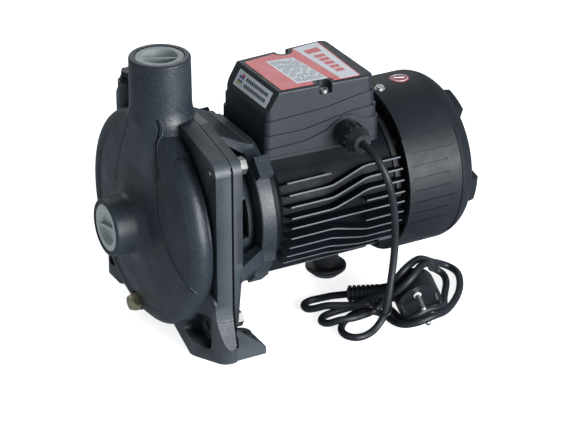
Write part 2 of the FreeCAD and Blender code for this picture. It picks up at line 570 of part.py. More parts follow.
def cage_bars(radius, x0, x1):
    return [rod_x(radius, x0, x1, *polar(BAR_PITCH_R, 20 * i)) for i in range(18)]


def rotor_core():
    return tube_x(ROTOR_R, 12.0, ROTOR_X0, ROTOR_X1).cut(group(cage_bars(2.2, ROTOR_X0 - 1, ROTOR_X1 + 1)))


def rotor_cage():
    rings = [tube_x(29.2, 20.0, ROTOR_X0 - 6, ROTOR_X0), tube_x(29.2, 20.0, ROTOR_X1, ROTOR_X1 + 6)]
    blades = []
    for i in range(6):
        for x0, x1 in ((ROTOR_X0 - 12, ROTOR_X0 - 5), (ROTOR_X1 + 5, ROTOR_X1 + 12)):
            blades.append(about_shaft(block(x0, x1, -1.2, 1.2, SHAFT_Z + 21, SHAFT_Z + 28.5), 60 * i))
    return fuse([*rings, *blades, *cage_bars(2.2, ROTOR_X0 - 2, ROTOR_X1 + 2)])


def shaft():
    steps = ((-52.5, 4.95), (-45.2, 6.5), (-20.5, 7.9), (-8.0, 8.5 - 0.3), (FRONT_BEARING_X, SHAFT_R),
             (FRONT_BEARING_X + RACE_W, 11.0), (ROTOR_X0, 12.0), (ROTOR_X1, 11.0),
             (REAR_BEARING_X, SHAFT_R), (REAR_BEARING_X + RACE_W, 7.0), (FAN_X1 + 6, 0))
    profile = [(steps[0][0], 0, 0)]
    for (x0, radius), (x1, _) in zip(steps, steps[1:]):
        profile += [(x0, radius, 0), (x1, radius, 0)]
    profile.append((steps[-1][0], 0, 0))
    groove = tube_x(8.0, 6.2, FAN_X1 + 1.4, FAN_X1 + 2.6)
    keyway = block(-43.0, -23.0, -2.0, 2.0, SHAFT_Z + 4.2, SHAFT_Z + 8.6)
    return turned(profile).cut(fuse([groove, keyway]))


def race_groove(x0):
    return Part.makeTorus(BALL_PITCH_R, BALL_R + 0.15, V(x0 + RACE_W / 2, 0, SHAFT_Z), X_AXIS)


def bearing_outer(x0):
    return tube_x(RACE_OUT_R, 16.4, x0, x0 + RACE_W).cut(race_groove(x0))


def bearing_inner(x0):
    return tube_x(12.1, SHAFT_R, x0, x0 + RACE_W).cut(race_groove(x0))


def bearing_balls(x0):
    """Balls joined by the ribbon cage that carries them round."""
    middle = x0 + RACE_W / 2
    balls = [Part.makeSphere(BALL_R, V(middle, *polar(BALL_PITCH_R, 360 * i / BALLS))) for i in range(BALLS)]
    cage = tube_x(BALL_PITCH_R + 0.7, BALL_PITCH_R - 0.7, middle - 4.2, middle + 4.2)
    return fuse([cage, *balls])


def water_flinger():
    return turned([(6.0, 8.22, 0), (6.0, 11.0, 0), (8.0, 18.0, 1), (9.6, 18.0, 0.5), (10.0, 11.0, 0),
                   (12.0, 11.0, 0), (12.0, 8.22, 0)])


def wave_washer():
    x0 = REAR_BEARING_X + RACE_W
    return tube_x(19.5, 15.5, x0, x0 + 1.0)


def cover_post(angle):
    """Lug of the rear shield that a cover screw bites into, reaching back inside the cover."""
    post = block(SHIELD_X1 - 1.2, COVER_X0 + 12, -5, 5, SHAFT_Z + 55, SHAFT_Z + COVER_IN_R - 0.4)
    return about_shaft(post, 90 - angle)


def screw_axis(angle):
    """Start on the cover's skin and inward direction of a cover screw."""
    inward = V(0, math.cos(math.radians(angle)), -math.sin(math.radians(angle)))
    return V(COVER_X0 + 7, *polar(COVER_R, angle)), inward


def rear_shield():
    disc = turned([(BARREL_X1, 0, 0), (BARREL_X1, SHIELD_R, 0), (SHIELD_X1, SHIELD_R, 1.5),
                   (SHIELD_X1, 0, 0)])
    spigot = tube_x(STATOR_R - 0.05, 46.5, BARREL_X1 - 4, BARREL_X1 + 1)
    pocket = turned([(REAR_BEARING_X - 1, 0, 0), (REAR_BEARING_X - 1, 25, 0), (BARREL_X1 + 1, 28, 0),
                     (BARREL_X1 + 1, 0, 0)])
    posts = [cover_post(angle) for angle in COVER_SCREWS]
    bearing_seat = rod_x(RACE_OUT_R, REAR_BEARING_X - 2, REAR_BEARING_X + RACE_W + 1.0)
    shaft_way = rod_x(9.0, REAR_BEARING_X - 10, SHIELD_X1 + 1)
    tie_holes = [rod_x(2.6, BARREL_X1 - 1, SHIELD_X1 + 1, *polar(TIE_R, angle)) for angle in TIE_ANGLES]
    screw_holes = [Part.makeCylinder(1.85, 14, *screw_axis(angle)) for angle in COVER_SCREWS]
    return fuse([disc, spigot, pocket, *posts]).cut(fuse([bearing_seat, shaft_way, *tie_holes, *screw_holes]))


def tie_rods():
    return group(rod_x(2.5, RING_X0 + 3, SHIELD_X1 + 4.5, *polar(TIE_R, a)) for a in TIE_ANGLES)


def tie_rod_nuts():
    nuts = []
    for angle in TIE_ANGLES:
        place = polar(TIE_R, angle)
        nut = hexagon_x(8.0, SHIELD_X1, SHIELD_X1 + 4.0, *place)
        nuts.append(nut.cut(rod_x(2.5, SHIELD_X1, SHIELD_X1 + 5, *place)))
    return group(nuts)


def fan():
    hub = tube_x(14.0, 7.05, FAN_X0, FAN_X1)
    disc = turned([(FAN_X0, 12, 0), (FAN_X0, FAN_R, 0), (FAN_X0 + 2.2, FAN_R, 0), (FAN_X0 + 2.2, 12, 0)])
    blade = block(FAN_X0 + 2, FAN_X1 - 1, -1.1, 1.1, SHAFT_Z + 13, SHAFT_Z + FAN_R - 1)
    return fuse([hub, disc, *[about_shaft(blade, 45 * i) for i in range(8)]])


def fan_clip():
    ring = tube_x(9.5, 6.4, FAN_X1 + 1.5, FAN_X1 + 2.5)
    gap = block(FAN_X1 + 1, FAN_X1 + 3, -3.0, 3.0, SHAFT_Z, SHAFT_Z + 12)
    return ring.cut(gap)


def cover_sector(angle_low, angle_high):
    """Wedge about the shaft between two height angles on the near side, long enough for the cover."""
    rays = [polar(120, angle_low), polar(170, (angle_low + angle_high) / 2), polar(120, angle_high)]
    return slab_x([(0, SHAFT_Z, 0)] + [(y, z, 0) for y, z in rays], COVER_X0 - 2, COVER_X1)


def cover_panel():
    """What the near side panel takes off the cover's skin: a shallow recess and seven fine grooves in it."""
    groove = 0.9
    recess = tube_x(COVER_R + 2, COVER_R - PANEL_DEPTH, COVER_X0 - 1, PANEL_X1)
    recess = recess.common(cover_sector(-PANEL_ANGLE - 4, PANEL_ANGLE))
    grooves = []
    for i in range(7):
        angle = 30.0 - 8.6 * i
        x1 = PANEL_X1 - 6 if i in (0, 4) else PANEL_X1 - 13
        line = block(COVER_X0 + 4, x1, -0.5, 0.5, SHAFT_Z + COVER_R - PANEL_DEPTH - groove, SHAFT_Z + COVER_R)
        grooves.append(about_shaft(line, 90 - angle))
    return [recess, *grooves]


def cover_lug(angle):
    """Rounded lug standing out of the cover's rear edge."""
    pad = turned([(COVER_X1 - 9, 50, 0), (COVER_X1 - 9, 66.5, 3), (COVER_X1 + 4, 64, 3),
                  (COVER_X1 + 4, 50, 3)])
    width = block(COVER_X0, COVER_X1 + 5, -12, 12, SHAFT_Z, SHAFT_Z + 90)
    return pad.common(about_shaft(width, 90 - angle))


def fan_cover():
    back = COVER_X1 - COVER_WALL
    outer = turned([(COVER_X0, 0, 0), (COVER_X0, COVER_R, 0), (COVER_X1, COVER_R, COVER_ROUND),
                    (COVER_X1, 0, 0)])
    inner = turned([(COVER_X0 - 1, 0, 0), (COVER_X0 - 1, COVER_IN_R, 0),
                    (back, COVER_IN_R, COVER_ROUND - COVER_WALL), (back, 0, 0)])
    lugs = [cover_lug(angle) for angle in COVER_LUGS]
    grille = [tube_x(17.4 + 8 * i, 12.0 + 8 * i, back - 3.5, COVER_X1 + 1) for i in range(5)]
    spoke = block(back, COVER_X1, -2.2, 2.2, SHAFT_Z + 9, SHAFT_Z + 52)
    spokes = [about_shaft(spoke, 22.5 + 45 * i) for i in range(8)]
    panel = cover_panel()
    far_panel = [mirrored(cut) for cut in panel]
    holes = []
    for angle in COVER_SCREWS:
        start, inward = screw_axis(angle)
        holes.append(Part.makeCylinder(2.0, 8, start - inward * 2, inward))
        holes.append(Part.makeCylinder(5.2, 4, start - inward * 3.6, inward))
    shell = outer.cut(fuse([inner.cut(fuse(lugs)), *grille]))
    return fuse([shell, *lugs, *spokes]).cut(fuse(panel)).cut(fuse(far_panel)).cut(fuse(holes))


def cover_screws():
    """Screws through the cover's front edge, pointing at the shaft, each on its washer."""
    screws = []
    for angle in COVER_SCREWS:
        start, inward = screw_axis(angle)
        seat = start + inward * 0.4
        stem = Part.makeCylinder(1.8, 11.0, seat, inward)
        washer = Part.makeCylinder(4.6, 0.8, seat - inward * 0.8, inward)
        head = Part.makeCylinder(3.4, 2.0, seat - inward * 2.8, inward)
        slot = block(-0.5, 0.5, -4, 4, 0, 1.1)
        slot.Placement = FreeCAD.Placement(seat - inward * 3.0, FreeCAD.Rotation(Z_AXIS, inward))
        screws.append(fuse([stem, washer, head]).cut(slot))
    return group(screws)


# ---- terminal box ----
def box_plan(inset):
    """Corners of the box seen from above at a level where its sides stand in by inset."""
    front, rear = BOX_HALF0 - inset, BOX_HALF1 - inset
    return [(BOX_X0 + inset, BOX_Y - front, 6), (BOX_X1 - inset, BOX_Y - rear, 7),
            (BOX_X1 - inset, BOX_Y + rear, 7), (BOX_X0 + inset, BOX_Y + front, 6)]


def box_sides(radius, z0, z1):
    """One upright cylinder at each of the two cover screws."""
    return [rod_z(radius, z0, z1, BOX_SCREW_X, BOX_Y + side * BOX_SCREW_Y) for side in (-1, 1)]


def before_front(shift):
    """What lies in front of the box's leaning front, moved back by shift."""
    line = [(x + shift, z, 0) for x, z in BOX_FRONT]
    (x1, z1, _), (x2, z2, _) = line[1:]
    over = (BOX_TOP_Z + 2 - z2) * (x2 - x1) / (z2 - z1)
    return slab_y([(BOX_X0 - 20, BOX_FRONT[0][1], 0), *line[:2], (x2 + over, BOX_TOP_Z + 2, 0),
                   (BOX_X0 - 20, BOX_TOP_Z + 2, 0)], -70, 70)


def terminal_box_base():
    """Tray under the cover: a rim that reaches down round the motor's seat, a floor and two screw posts."""
    rim = slab_z(box_plan(0), BOX_RIM_Z, BOX_JOINT_Z)
    rim = rim.cut(slab_z(box_plan(BOX_WALL), BOX_RIM_Z - 1, BOX_SEAT_Z))
    floor = slab_z(box_plan(BOX_WALL + 0.9), BOX_SEAT_Z, BOX_FLOOR_Z)
    wire_way = rod_z(WIRE_WAY_R, BOX_SEAT_Z - 1, BOX_FLOOR_Z + 1, WIRE_WAY_X, BOX_Y)
    posts = box_sides(5.0, BOX_SEAT_Z, BOX_POST_Z)
    screw_holes = box_sides(1.9, BOX_POST_Z - 11, BOX_POST_Z + 1)
    return fuse([rim, floor, *posts]).cut(fuse([wire_way, *screw_holes]))


def terminal_box_gasket():
    outside = slab_z(box_plan(0.4), BOX_JOINT_Z, BOX_JOINT_Z + BOX_GASKET)
    return outside.cut(slab_z(box_plan(BOX_WALL + 0.2), BOX_JOINT_Z - 1, BOX_JOINT_Z + 2))


def terminal_box_cover():
    joint = BOX_JOINT_Z + BOX_GASKET
    shell = slab_z(box_plan(0), joint, BOX_TOP_Z)
    for inset, ridge in zip(BOX_STEPS, BOX_RIDGES):
        line = [(x, z, 0 if i in (0, len(ridge) - 1) else 6) for i, (x, z) in enumerate(ridge)]
        above = slab_y([*line, (BOX_X1 + 3, BOX_TOP_Z + 2, 0), (BOX_X0 - 2, BOX_TOP_Z + 2, 0)], -70, 70)
        shell = shell.cut(above.cut(slab_z(box_plan(inset), joint - 1, BOX_TOP_Z + 3)))
    shell = shell.cut(before_front(0))
    top_edges = [e for e in shell.Edges if min(v.Z for v in e.Vertexes) > BOX_TOP_Z - 0.01]
    shell = shell.makeFillet(2.0, top_edges)
    room = fuse([slab_z(box_plan(BOX_WALL + 0.2), joint - 1, joint + 4),
                 slab_z(box_plan(4.0), joint, BOX_POST_Z + 2),
                 slab_z(box_plan(6.2), joint, BOX_TOP_Z - BOX_WALL)]).cut(before_front(2.8))
    seat_z = BOX_TOP_Z - 9
    wells = fuse(box_sides(8.0, BOX_POST_Z + 1, BOX_TOP_Z - 2)).common(
        slab_z(box_plan(BOX_STEPS[-1]), BOX_POST_Z, BOX_TOP_Z))
    notches = box_sides(6.0, seat_z, BOX_TOP_Z + 1)
    notches += [block(BOX_SCREW_X - 6, BOX_SCREW_X + 6, y0, y0 + 16, seat_z, BOX_TOP_Z + 1)
                for y0 in (BOX_Y - BOX_SCREW_Y - 16, BOX_Y + BOX_SCREW_Y)]
    post_room = box_sides(5.3, joint - 1, BOX_POST_Z + 0.6)
    screw_holes = box_sides(2.2, BOX_POST_Z, BOX_TOP_Z)
    gland_boss = rod_y(11.0, GLAND_FACE_Y, GLAND_FACE_Y + 7, GLAND_X, GLAND_Z)
    gland_boss = gland_boss.common(block(100, 140, -70, 0, joint, BOX_TOP_Z))
    gland_way = rod_y(8.2, GLAND_FACE_Y - 1, GLAND_FACE_Y + 15, GLAND_X, GLAND_Z)
    solid = fuse([shell.cut(room), wells, gland_boss])
    return solid.cut(fuse([*notches, *post_room, *screw_holes, gland_way]))


def terminal_box_screws():
    seat_z = BOX_TOP_Z - 9
    stems = box_sides(1.85, BOX_POST_Z - 10, seat_z)
    heads = box_sides(4.0, seat_z, seat_z + 3)
    screws = []
    for side, stem, head in zip((-1, 1), stems, heads):
        y = BOX_Y + side * BOX_SCREW_Y
        cross = fuse([block(BOX_SCREW_X - 2.6, BOX_SCREW_X + 2.6, y - 0.5, y + 0.5, seat_z + 1.6, BOX_TOP_Z),
                      block(BOX_SCREW_X - 0.5, BOX_SCREW_X + 0.5, y - 2.6, y + 2.6, seat_z + 1.6, BOX_TOP_Z)])
        screws.append(fuse([stem, head]).cut(cross))
    return group(screws)


def terminal_block():
    body = block(114, 140, BOX_Y - 24, BOX_Y + 8, BOX_FLOOR_Z, BOX_FLOOR_Z + 12)
    ways = []
    for i in range(4):
        y = BOX_Y - 20 + 8 * i
        ways.append(rod_x(1.6, 113, 141, y, BOX_FLOOR_Z + 4))
        ways += [rod_z(2.0, BOX_FLOOR_Z + 6, BOX_FLOOR_Z + 13, x, y) for x in (119, 135)]
    return body.cut(fuse(ways))


def capacitor():
    can = rod_x(CAPACITOR_R, CAPACITOR_X0, CAPACITOR_X1, CAPACITOR_Y, CAPACITOR_Z)
    can = can.makeFillet(1.5, can.Edges[:1] + can.Edges[2:3])
    pins = [block(CAPACITOR_X1, CAPACITOR_X1 + 6, y - 0.4, y + 0.4, CAPACITOR_Z - 3, CAPACITOR_Z + 3)
            for y in (CAPACITOR_Y - 4, CAPACITOR_Y + 4)]
    return fuse([can, *pins])


def capacitor_clamp():
    band = rod_x(CAPACITOR_R + 1.2, 80, 90, CAPACITOR_Y, CAPACITOR_Z)
    band = band.cut(rod_x(CAPACITOR_R, 79, 91, CAPACITOR_Y, CAPACITOR_Z))
    leg = block(80, 90, CAPACITOR_Y - 3, CAPACITOR_Y + 3, BOX_FLOOR_Z, CAPACITOR_Z - CAPACITOR_R)
    return fuse([band, leg])


def gland_body():
    face = GLAND_FACE_Y
    thread = rod_y(8.0, face, face + 14, GLAND_X, GLAND_Z)
    collar = rod_y(12.0, face - 4.0, face, GLAND_X, GLAND_Z)
    neck = rod_y(9.0, face - 14.0, face - 4.0, GLAND_X, GLAND_Z)
    return fuse([thread, collar, neck]).cut(rod_y(CORD_R + 0.1, face - 20, face + 20, GLAND_X, GLAND_Z))


def gland_nut():
    face = GLAND_FACE_Y
    nut = Part.makeCone(11.5, 8.0, 9.0, V(GLAND_X, face - 16.0, GLAND_Z), -Y_AXIS)
    grip = rod_y(11.5, face - 16.0, face - 4.4, GLAND_X, GLAND_Z)
    ribs = []
    for i in range(12):
        angle = math.radians(30 * i)
        ribs.append(rod_y(1.1, face - 15.0, face - 5.0, GLAND_X + 11.5 * math.cos(angle),
                          GLAND_Z + 11.5 * math.sin(angle)))
    nut = fuse([nut, grip, *ribs])
    nut = nut.cut(rod_y(CORD_R + 0.4, face - 30, face, GLAND_X, GLAND_Z))
    return nut.cut(rod_y(9.05, face - 15.0, face, GLAND_X, GLAND_Z))


def gland_seal():
    face = GLAND_FACE_Y
    seal = rod_y(8.0, face - 14.95, face - 14.05, GLAND_X, GLAND_Z)
    return seal.cut(rod_y(CORD_R + 0.1, face - 30, face, GLAND_X, GLAND_Z))


def cover_label():
    top = BOX_TOP_Z
    plate = slab_z([(61.5, -39, 2), (135.5, -43.4, 2), (138.3, 36, 2), (61.5, 27.3, 2)], top, top + 0.35)
    return plate.cut(fuse(box_sides(9.5, top - 1, top + 1)))


def slope_sticker():
    (x1, z1), (x2, z2) = BOX_FRONT[1:]
    up = V(x2 - x1, 0, z2 - z1).normalize()
    plate = block(0, 14.6, -29.2, 29.2, 0, 0.35)
    plate.rotate(V(0, 0, 0), Y_AXIS, -math.degrees(math.atan2(up.z, up.x)))
    plate.translate(V(x1, -5.2, z1) + up * 4.7)
    return plate


def round_sticker():
    disc = Part.makeCylinder(9.2, 6.0, V(STICKER_X, 0, SHAFT_Z + COVER_R - 4), Z_AXIS)
    skin = rod_x(COVER_R + 0.3, COVER_X0, COVER_X1 - COVER_ROUND).cut(rod_x(COVER_R, COVER_X0 - 1, COVER_X1))
    return about_shaft(disc.common(skin), 90 - STICKER_ANGLE)


def rubber_foot():
    solid = spun_z([(0, 0, 0), (11.5, 0, 1), (18.5, 6.5, 1.5), (18.5, 10, 1.5), (11.5, 11.5, 1),
                    (11, PAD_Z, 0), (0, PAD_Z, 0)], FOOT_POST_X, 0)
    stem_way = rod_z(4.0, 6, PAD_Z + 1, FOOT_POST_X, 0)
    head_room = rod_z(7.0, -1, 6, FOOT_POST_X, 0)
    return solid.cut(fuse([stem_way, head_room]))


def foot_screw():
    stem = rod_z(4.0, 2.0, PAD_Z + 11, FOOT_POST_X, 0)
    head = hexagon_z(12.0, 1.5, 6.0, FOOT_POST_X, 0)
    return fuse([stem, head])


# ---- cord ----
def rounded_path(points):
    """Wire of straight runs joined by tangent arcs, each as large as its two runs allow."""
    corners = [V(*p) for p in points]
    edges, start, radii = [], corners[0], []
    for before, here, after in zip(corners, corners[1:], corners[2:]):
        back, on = (before - here), (after - here)
        reach = 0.45 * min(back.Length, on.Length)
        turn = math.pi - back.getAngle(on)
        radii.append(reach / math.tan(turn / 2))
        back.normalize()
        on.normalize()
        half = (math.pi - turn) / 2
        crown = here + (back + on).normalize() * (radii[-1] / math.sin(half) - radii[-1])
        edges.append(Part.LineSegment(start, here + back * reach).toShape())
        edges.append(Part.Arc(here + back * reach, crown, here + on * reach).toShape())
        start = here + on * reach
    edges.append(Part.LineSegment(start, corners[-1]).toShape())
    return Part.Wire(edges), radii


def power_cord():
    path, radii = rounded_path(CORD_ROUTE)
    first = V(*CORD_ROUTE[1]) - V(*CORD_ROUTE[0])
    ring = Part.Wire(Part.makeCircle(CORD_R, V(*CORD_ROUTE[0]), first))
    tube = path.makePipeShell([ring], True, True)
    expected = math.pi * CORD_R ** 2 * path.Length
    print("cord: length", round(path.Length, 1), "radii", [round(r, 1) for r in radii],
          "volume ratio", round(tube.Volume / expected, 4))
    return tube


def cord_hank():
    """Outer shape of the tied hank: low turns on the floor and a hump where some pass over the plug."""
    low = slab_z(HANK_OUTLINE, 0, HANK_HEIGHT)
    hump = slab_y(HUMP_SIDE, -HUMP_HALF, HUMP_HALF)
    hump.rotate(V(0, 0, 0), Z_AXIS, HUMP_ANGLE)
    hump.translate(HUMP_START)
    return fuse([low, hump])


def cord_tie():
    """Thin strap round the neck of the hank."""
    def loop(margin):
        return slab_x([(TIE_Y0 + margin, margin, 4), (TIE_Y1 - margin, margin, 4),
                       (TIE_Y1 - margin, TIE_TOP - margin, 4), (TIE_Y0 + margin, TIE_TOP - margin, 4)],
                      TIE_X - 2.5, TIE_X + 2.5)
    return loop(0).cut(loop(1.2))


def along_plug(shape):
    """Put a shape made along +Z from the origin onto the plug's face, pointing the way the pins point."""
    spin = FreeCAD.Rotation(Z_AXIS, PLUG_AXIS)
    placed = shape.copy()
    placed.Placement = FreeCAD.Placement(PLUG_FACE, spin)
    return placed


def pin_side():
    """Unit vector from the lower pin to the upper one, square to the pins."""
    return (PIN_LINE - PLUG_AXIS * PIN_LINE.dot(PLUG_AXIS)).normalize()


def plug_body():
    head = Part.makeCylinder(PLUG_R, PLUG_DEPTH, PLUG_FACE, -PLUG_AXIS)
    rear = [e for e in head.Edges if (e.CenterOfMass - PLUG_FACE).Length > PLUG_DEPTH - 1
            and e.Closed and e.Length > 10]
    head = head.makeFillet(6.0, rear)
    middle = PLUG_FACE - PLUG_AXIS * (PLUG_DEPTH * 0.55)
    relief = RELIEF_END - middle
    length = relief.Length
    relief.normalize()
    neck = Part.makeCone(11.0, 7.0, length * 0.55, middle, relief)
    tail = Part.makeCone(7.0, 5.5, length * 0.45, middle + relief * length * 0.55, relief)
    ribs = [Part.makeCylinder(7.6, 1.8, middle + relief * (length - 3.0 - 4.0 * i), relief) for i in range(7)]
    return fuse([head, neck, tail, *ribs])


def plug_pins():
    side = pin_side() * (PIN_SPREAD / 2)
    pins = []
    for centre in (PLUG_FACE + side, PLUG_FACE - side):
        pin = Part.makeCylinder(PIN_R, PIN_LENGTH, centre, PLUG_AXIS)
        tip = [e for e in pin.Edges if (e.CenterOfMass - centre).Length > PIN_LENGTH - 1 and e.Closed
               and e.Length > 10]
        pins.append(pin.makeFillet(1.6, tip))
    return group(pins)


def plug_earth_clips():
    across = pin_side().cross(PLUG_AXIS).normalize()
    clips = []
    for sign in (-1, 1):
        clip = block(-4.0, 4.0, -0.9, 0.9, 0, 1.2)
        clip.Placement = FreeCAD.Placement(PLUG_FACE + across * (sign * 15.5),
                                           FreeCAD.Rotation(pin_side(), across, PLUG_AXIS, "ZXY"))
        clips.append(clip)
    return group(clips)


PARTS = {
    "pump_body": pump_body, "suction_cap": suction_cap, "discharge_cap": discharge_cap,
    "drain_plug": drain_plug, "drain_plug_washer": drain_washer, "priming_plug": priming_plug,
    "priming_plug_washer": priming_washer, "casing_gasket": casing_gasket, "casing_bolts": casing_bolts,
    "casing_washers": casing_washers, "impeller": impeller, "impeller_nut": impeller_nut,
    "impeller_key": impeller_key, "seal_seat": seal_seat, "seal_ring": seal_ring, "seal_spring": seal_spring,
    "motor_bracket": motor_bracket, "motor_housing": motor_housing, "stator_core": stator_core,
    "stator_winding": stator_winding, "rotor_core": rotor_core, "rotor_cage": rotor_cage, "shaft": shaft,
    "front_bearing_outer": lambda: bearing_outer(FRONT_BEARING_X),
    "front_bearing_inner": lambda: bearing_inner(FRONT_BEARING_X),
    "front_bearing_balls": lambda: bearing_balls(FRONT_BEARING_X),
    "rear_bearing_outer": lambda: bearing_outer(REAR_BEARING_X),
    "rear_bearing_inner": lambda: bearing_inner(REAR_BEARING_X),
    "rear_bearing_balls": lambda: bearing_balls(REAR_BEARING_X),
    "wave_washer": wave_washer, "water_flinger": water_flinger, "rear_shield": rear_shield,
    "tie_rods": tie_rods, "tie_rod_nuts": tie_rod_nuts, "fan": fan, "fan_clip": fan_clip,
    "fan_cover": fan_cover, "fan_cover_screws": cover_screws, "terminal_box_base": terminal_box_base,
    "terminal_box_cover": terminal_box_cover, "terminal_box_gasket": terminal_box_gasket,
    "terminal_box_screws": terminal_box_screws, "terminal_block": terminal_block, "capacitor": capacitor,
    "capacitor_clamp": capacitor_clamp, "gland_body": gland_body, "gland_nut": gland_nut,
    "gland_seal": gland_seal, "cover_label": cover_label, "slope_sticker": slope_sticker,
    "round_sticker": round_sticker, "rubber_foot": rubber_foot, "foot_screw": foot_screw,
    "power_cord": power_cord, "cord_hank": cord_hank, "cord_tie": cord_tie, "plug_body": plug_body,
    "plug_pins": plug_pins, "plug_earth_clips": plug_earth_clips,
}

os.makedirs("parts", exist_ok=True)
for node, make in PARTS.items():
    shape = make()
    if not shape.isValid():
        print("invalid:", node)
    print(node, len(shape.Solids), round(shape.Volume))
    shape.exportStep("parts/" + node + ".step")
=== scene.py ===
"""Looks of the centrifugal water pump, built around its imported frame. Metres, in the frame's own axes."""
import json
import math
import bpy
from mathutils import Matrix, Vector
from mathutils.bvhtree import BVHTree


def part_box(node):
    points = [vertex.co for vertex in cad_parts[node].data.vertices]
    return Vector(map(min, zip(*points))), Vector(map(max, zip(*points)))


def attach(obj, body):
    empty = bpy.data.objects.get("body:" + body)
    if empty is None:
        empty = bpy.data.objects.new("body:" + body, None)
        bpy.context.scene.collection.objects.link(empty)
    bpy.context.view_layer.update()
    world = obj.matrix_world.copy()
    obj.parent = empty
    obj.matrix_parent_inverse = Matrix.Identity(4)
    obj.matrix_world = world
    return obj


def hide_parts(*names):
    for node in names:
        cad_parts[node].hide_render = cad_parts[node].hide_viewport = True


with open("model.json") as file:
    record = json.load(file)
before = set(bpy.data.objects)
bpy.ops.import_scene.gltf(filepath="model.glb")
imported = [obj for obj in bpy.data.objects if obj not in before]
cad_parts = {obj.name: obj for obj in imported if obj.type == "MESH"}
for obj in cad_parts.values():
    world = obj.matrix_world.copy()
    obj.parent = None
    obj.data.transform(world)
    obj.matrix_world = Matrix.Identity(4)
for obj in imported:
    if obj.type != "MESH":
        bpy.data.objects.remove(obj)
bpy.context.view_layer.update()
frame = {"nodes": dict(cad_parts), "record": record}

MM = 0.001
NODES = frame["nodes"]
SHAFT_Z = 98.0 * MM
FIN_R = 70.0 * MM            # from the shaft's line to the tips of the housing's fins
CORD_R = 3.2 * MM
TIE_R = 0.9 * MM
ALONG_X = (1.0, 0.0, 0.0)
ALONG_Y = (0.0, 1.0, 0.0)


# ---- camera ----
def make_camera():
    """At the photograph's viewing angle, which is 28.5 degrees round and 27 degrees up."""
    azimuth, elevation = math.radians(-28.5), math.radians(27.0)
    back = Vector((math.sin(azimuth) * math.cos(elevation), -math.cos(azimuth) * math.cos(elevation),
                   math.sin(elevation)))
    camera = bpy.data.objects.new("camera", bpy.data.cameras.new("camera"))
    camera.data.sensor_width = 36.0
    camera.data.lens = 151.6
    camera.data.clip_end = 30.0
    camera.location = (-0.810, -1.651, 1.028)
    camera.rotation_mode = "QUATERNION"
    camera.rotation_quaternion = (-back).to_track_quat("-Z", "Y")
    bpy.context.scene.collection.objects.link(camera)
    bpy.context.scene.camera = camera


make_camera()

# ---- cord: control points in mm, from the gland down to the floor and round the hank to the plug ----
CORD_ROUTE = [
    (118, -79, 163), (118.3, -91, 162.4), (120, -102, 156.6), (123.5, -108.6, 145.5), (127.5, -110.5, 131),
    (131.5, -109.6, 113.5), (134, -108.3, 94), (134.5, -107.5, 74), (132, -109, 56), (128, -112, 42),
    (125, -114, 30), (123, -114, 19), (119, -114, 10),
]
SMALL_LOOP_LOW = [
    (111, -116, 4), (101, -120, 3.2), (91, -120, 3.2), (85, -113, 3.2), (85, -103, 3.2), (91, -94, 3.2),
    (101, -86, 3.2), (113, -81, 3.2), (124, -83, 3.2), (131, -91, 3.2), (133, -102, 3.2), (133, -114, 3.5),
    (137, -126, 6.5),
]
LARGE_LOOP_LOW = [
    (146, -133, 10.5), (160, -133.5, 13.5), (176, -125, 8.5), (193, -110, 4), (210, -94, 3.2),
    (223, -76, 3.2), (230, -60, 3.2), (228, -49, 4), (218, -47, 9), (205, -57, 18), (189, -74, 32),
    (169, -91, 47), (153, -102, 50), (143, -104, 45), (135, -100, 31), (129, -96, 14),
]
SMALL_LOOP_HIGH = [
    (121, -96, 9.5), (111, -97, 9), (98, -99, 10), (88, -95.5, 9.6), (80, -89, 4.5), (77.5, -80.5, 3.2),
    (84, -73, 3.2), (96, -71, 3.2), (110, -71, 3.2), (124, -71, 3.2), (135, -74, 3.2), (141, -83, 3.2),
    (141.5, -95, 3.4), (140, -108, 3.6), (140, -119, 6.5),
]
LARGE_LOOP_HIGH = [
    (147, -126, 13.5), (157, -126, 16.5), (169, -125, 15), (182, -115, 9), (191, -99, 4), (202, -84, 3.2),
    (211, -72, 3.2), (215, -61, 5), (208, -55, 10), (198, -66, 18), (189, -81, 29), (178, -95, 42),
    (163, -105, 49), (149, -115, 46), (137, -114, 36), (133, -106, 28),
]
CORD_TAIL = [
    (128, -99, 27), (121, -91, 20), (112, -82, 11), (101, -75, 10.2), (90, -68, 9.8), (83, -62.5, 6),
    (77.5, -56, 3.2), (78.5, -47, 3.2), (87, -43, 3.2), (96, -46, 4.5), (103.5, -54, 9), (108, -60, 11.5),
    (113, -66, 14),
]
TIE_LOOP = [
    (118, -111.5, 16), (119.6, -118.4, 16), (125.7, -118.8, 18), (131, -109, 22), (136, -100, 25.5),
    (135.5, -93.5, 25), (129, -89.5, 24), (121.5, -89, 23), (117.5, -95, 20), (117.3, -104, 18),
]


def in_metres(points):
    return [tuple(c * MM for c in p) for p in points]


def add_curve(name, points, radius, resolution=12, closed=False):
    """One NURBS spline in metres, with a round section. Its points hold the radius, so its box is right."""
    curve = bpy.data.curves.new(name, "CURVE")
    curve.dimensions = "3D"
    spline = curve.splines.new("NURBS")
    spline.points.add(len(points) - 1)
    for point, spot in zip(spline.points, points):
        point.co = (*spot, 1.0)
        point.radius = radius
    spline.order_u = 3
    spline.use_endpoint_u = not closed
    spline.use_cyclic_u = closed
    spline.resolution_u = resolution
    curve.bevel_depth = 1.0
    curve.bevel_resolution = 6
    curve.use_fill_caps = True
    piece = bpy.data.objects.new(name, curve)
    bpy.context.scene.collection.objects.link(piece)
    return piece


def make_tie():
    """Thin loop round the strands at the neck of the hank, in place of the plain strap."""
    tie = add_curve("tie_loop", in_metres(TIE_LOOP), TIE_R, closed=True)
    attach(tie, "root")
    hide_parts("cord_tie")
    return tie


